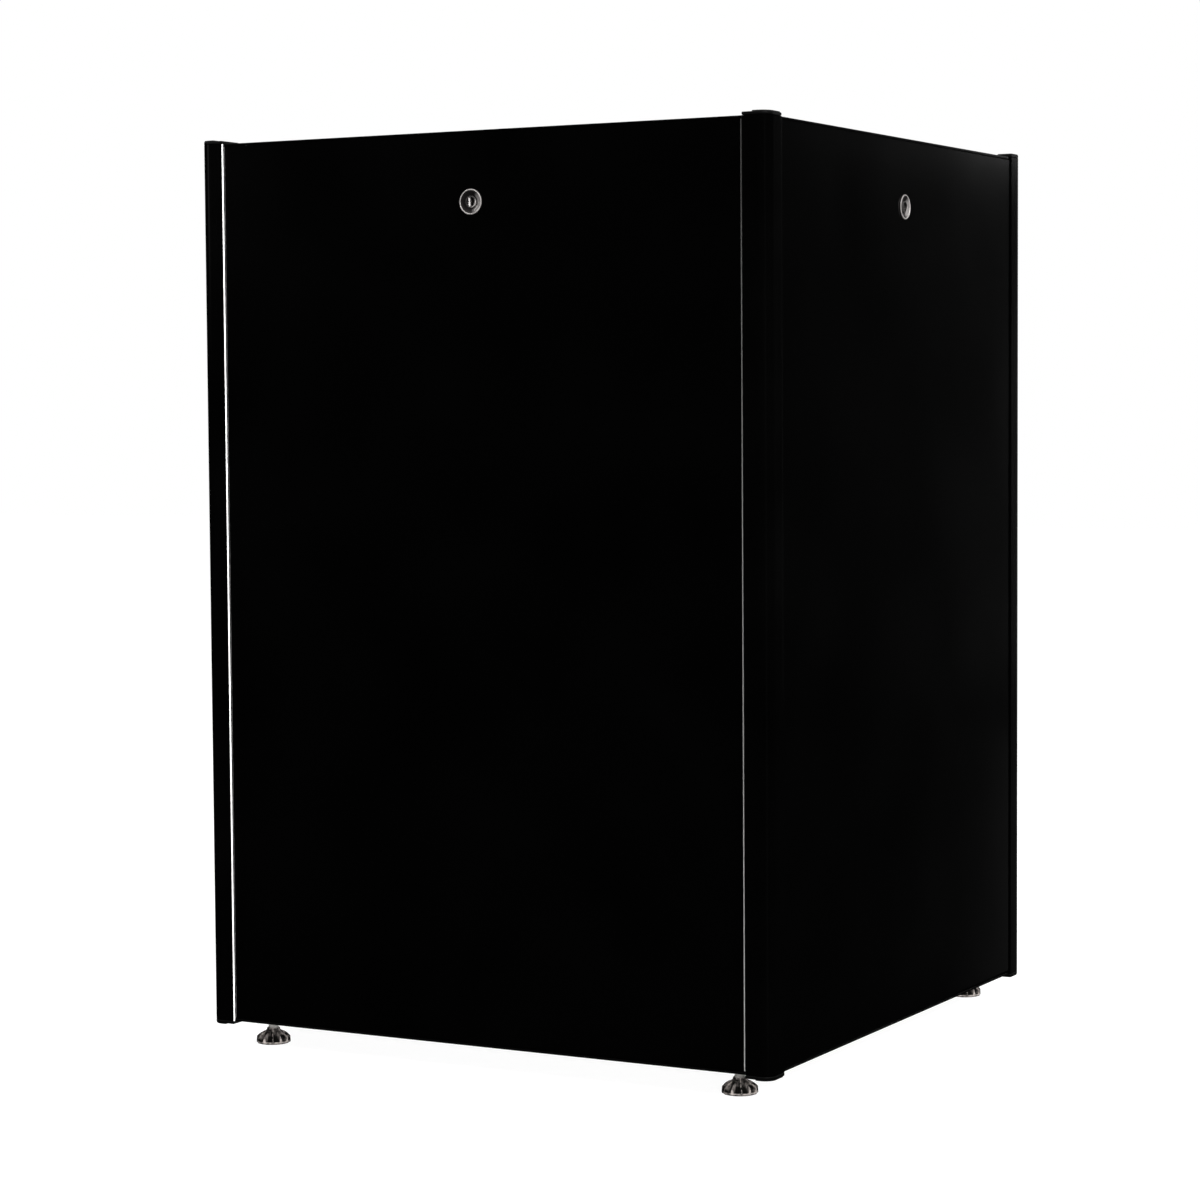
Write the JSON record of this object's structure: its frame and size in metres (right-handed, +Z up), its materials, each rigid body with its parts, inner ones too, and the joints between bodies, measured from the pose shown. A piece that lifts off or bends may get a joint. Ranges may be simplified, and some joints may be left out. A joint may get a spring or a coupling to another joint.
{
  "type": "network rack cabinet",
  "caption": "Free-standing black network cabinet for 19-inch equipment: glass front door, lift-off locked panels, corner posts and levelling feet",
  "frame": {"origin": "on the floor, under the middle of the cabinet's footprint", "axes": "+Z up; +Y towards the glass front door; +X towards the cabinet's left side as seen from the front; the picture shows the rear (-Y) and left (+X) faces"},
  "size_m": [0.6002, 0.6002, 0.8692],
  "materials": {
    "black_paint": "smooth gloss black powder coat",
    "black_plastic": "fine-textured black moulded plastic",
    "lock_metal": "satin nickel over die-cast zinc, polished rim",
    "zinc_plate": "zinc-plated steel, satin",
    "dark_casting": "dark gunmetal die casting with worn edges",
    "tinted_glass": "smoked tempered glass"
  },
  "bodies": {
    "cabinet": {"base_frame": "black_paint", "roof_frame": "black_paint", "corner_post_rear_left": "black_paint", "top_cap_rear_left": "black_plastic", "bottom_cap_rear_left": "black_plastic", "mounting_rail_rear_left": "zinc_plate", "foot_nut_rear_left": "zinc_plate", "corner_post_rear_right": "black_paint", "top_cap_rear_right": "black_plastic", "bottom_cap_rear_right": "black_plastic", "mounting_rail_rear_right": "zinc_plate", "foot_nut_rear_right": "zinc_plate", "corner_post_front_left": "black_paint", "top_cap_front_left": "black_plastic", "bottom_cap_front_left": "black_plastic", "mounting_rail_front_left": "zinc_plate", "foot_nut_front_left": "zinc_plate", "corner_post_front_right": "black_paint", "top_cap_front_right": "black_plastic", "bottom_cap_front_right": "black_plastic", "mounting_rail_front_right": "zinc_plate", "foot_nut_front_right": "zinc_plate", "depth_brace_left_lower": "zinc_plate", "depth_brace_left_upper": "zinc_plate", "depth_brace_right_lower": "zinc_plate", "depth_brace_right_upper": "zinc_plate", "hinge_pin_lower": "zinc_plate", "hinge_pin_upper": "zinc_plate"},
    "door": {"door_frame": "black_paint", "door_glass": "tinted_glass", "door_lock_body": "lock_metal", "door_lock_nut": "zinc_plate"},
    "door_lock_core": {"door_lock_plug": "lock_metal", "door_lock_cam": "zinc_plate"},
    "rear_panel": {"rear_panel": "black_paint", "rear_lock_body": "lock_metal", "rear_lock_nut": "zinc_plate"},
    "rear_lock_core": {"rear_lock_plug": "lock_metal", "rear_lock_cam": "zinc_plate"},
    "left_side_panel": {"left_side_panel": "black_paint", "left_lock_body": "lock_metal", "left_lock_nut": "zinc_plate"},
    "left_lock_core": {"left_lock_plug": "lock_metal", "left_lock_cam": "zinc_plate"},
    "right_side_panel": {"right_side_panel": "black_paint", "right_lock_body": "lock_metal", "right_lock_nut": "zinc_plate"},
    "right_lock_core": {"right_lock_plug": "lock_metal", "right_lock_cam": "zinc_plate"},
    "roof_cable_cover": {"roof_cable_cover": "black_paint"},
    "base_cable_cover": {"base_cable_cover": "black_paint"},
    "foot_stud_rear_left": {"foot_stud_rear_left": "zinc_plate"},
    "foot_pad_rear_left": {"foot_pad_rear_left": "dark_casting"},
    "foot_stud_rear_right": {"foot_stud_rear_right": "zinc_plate"},
    "foot_pad_rear_right": {"foot_pad_rear_right": "dark_casting"},
    "foot_stud_front_left": {"foot_stud_front_left": "zinc_plate"},
    "foot_pad_front_left": {"foot_pad_front_left": "dark_casting"},
    "foot_stud_front_right": {"foot_stud_front_right": "zinc_plate"},
    "foot_pad_front_right": {"foot_pad_front_right": "dark_casting"}
  },
  "joints": [
    {"name": "door_hinge", "type": "hinge", "parent": "cabinet", "child": "door", "pos_m": [0.2663, 0.2949, 0.0273], "axis": [0, 0, -1], "range_deg": [0, 110]},
    {"name": "door_lock_turn", "type": "hinge", "parent": "door", "child": "door_lock_core", "pos_m": [-0.2545, 0.2987, 0.44485], "axis": [0, -1, 0], "range_deg": [0, 90]},
    {"name": "rear_panel_tilt", "type": "hinge", "parent": "cabinet", "child": "rear_panel", "pos_m": [0, -0.2987, 0.0273], "axis": [1, 0, 0], "range_deg": [0, 10]},
    {"name": "rear_lock_turn", "type": "hinge", "parent": "rear_panel", "child": "rear_lock_core", "pos_m": [0, -0.2987, 0.8007], "axis": [0, 1, 0], "range_deg": [0, 90]},
    {"name": "left_side_panel_tilt", "type": "hinge", "parent": "cabinet", "child": "left_side_panel", "pos_m": [0.2987, 0, 0.0273], "axis": [0, 1, 0], "range_deg": [0, 10]},
    {"name": "left_lock_turn", "type": "hinge", "parent": "left_side_panel", "child": "left_lock_core", "pos_m": [0.2987, 0, 0.8007], "axis": [-1, 0, 0], "range_deg": [0, 90]},
    {"name": "right_side_panel_tilt", "type": "hinge", "parent": "cabinet", "child": "right_side_panel", "pos_m": [-0.2987, 0, 0.0273], "axis": [0, -1, 0], "range_deg": [0, 10]},
    {"name": "right_lock_turn", "type": "hinge", "parent": "right_side_panel", "child": "right_lock_core", "pos_m": [-0.2987, 0, 0.8007], "axis": [1, 0, 0], "range_deg": [0, 90]},
    {"name": "roof_cover_slide", "type": "slide", "parent": "cabinet", "child": "roof_cable_cover", "axis": [0, 1, 0], "range_m": [-0.03, 0.06]},
    {"name": "base_cover_slide", "type": "slide", "parent": "cabinet", "child": "base_cable_cover", "axis": [0, 1, 0], "range_m": [-0.03, 0.06]},
    {"name": "foot_height_rear_left", "type": "slide", "parent": "cabinet", "child": "foot_stud_rear_left", "axis": [0, 0, 1], "range_m": [-0.0151, 0]},
    {"name": "foot_turn_rear_left", "type": "hinge", "parent": "foot_stud_rear_left", "child": "foot_pad_rear_left", "pos_m": [0.2522, -0.2651, 0], "axis": [0, 0, 1], "range_deg": [-3600, 0]},
    {"name": "foot_height_rear_right", "type": "slide", "parent": "cabinet", "child": "foot_stud_rear_right", "axis": [0, 0, 1], "range_m": [-0.0151, 0]},
    {"name": "foot_turn_rear_right", "type": "hinge", "parent": "foot_stud_rear_right", "child": "foot_pad_rear_right", "pos_m": [-0.2522, -0.2651, 0], "axis": [0, 0, 1], "range_deg": [-3600, 0]},
    {"name": "foot_height_front_left", "type": "slide", "parent": "cabinet", "child": "foot_stud_front_left", "axis": [0, 0, 1], "range_m": [-0.0151, 0]},
    {"name": "foot_turn_front_left", "type": "hinge", "parent": "foot_stud_front_left", "child": "foot_pad_front_left", "pos_m": [0.2522, 0.2651, 0], "axis": [0, 0, 1], "range_deg": [-3600, 0]},
    {"name": "foot_height_front_right", "type": "slide", "parent": "cabinet", "child": "foot_stud_front_right", "axis": [0, 0, 1], "range_m": [-0.0151, 0]},
    {"name": "foot_turn_front_right", "type": "hinge", "parent": "foot_stud_front_right", "child": "foot_pad_front_right", "pos_m": [-0.2522, 0.2651, 0], "axis": [0, 0, 1], "range_deg": [-3600, 0]}
  ],
  "couplings": [
    {"joint": "foot_height_rear_left", "follows": "foot_turn_rear_left", "m_per_rad": 0.00023873},
    {"joint": "foot_height_rear_right", "follows": "foot_turn_rear_right", "m_per_rad": 0.00023873},
    {"joint": "foot_height_front_left", "follows": "foot_turn_front_left", "m_per_rad": 0.00023873},
    {"joint": "foot_height_front_right", "follows": "foot_turn_front_right", "m_per_rad": 0.00023873}
  ]
}
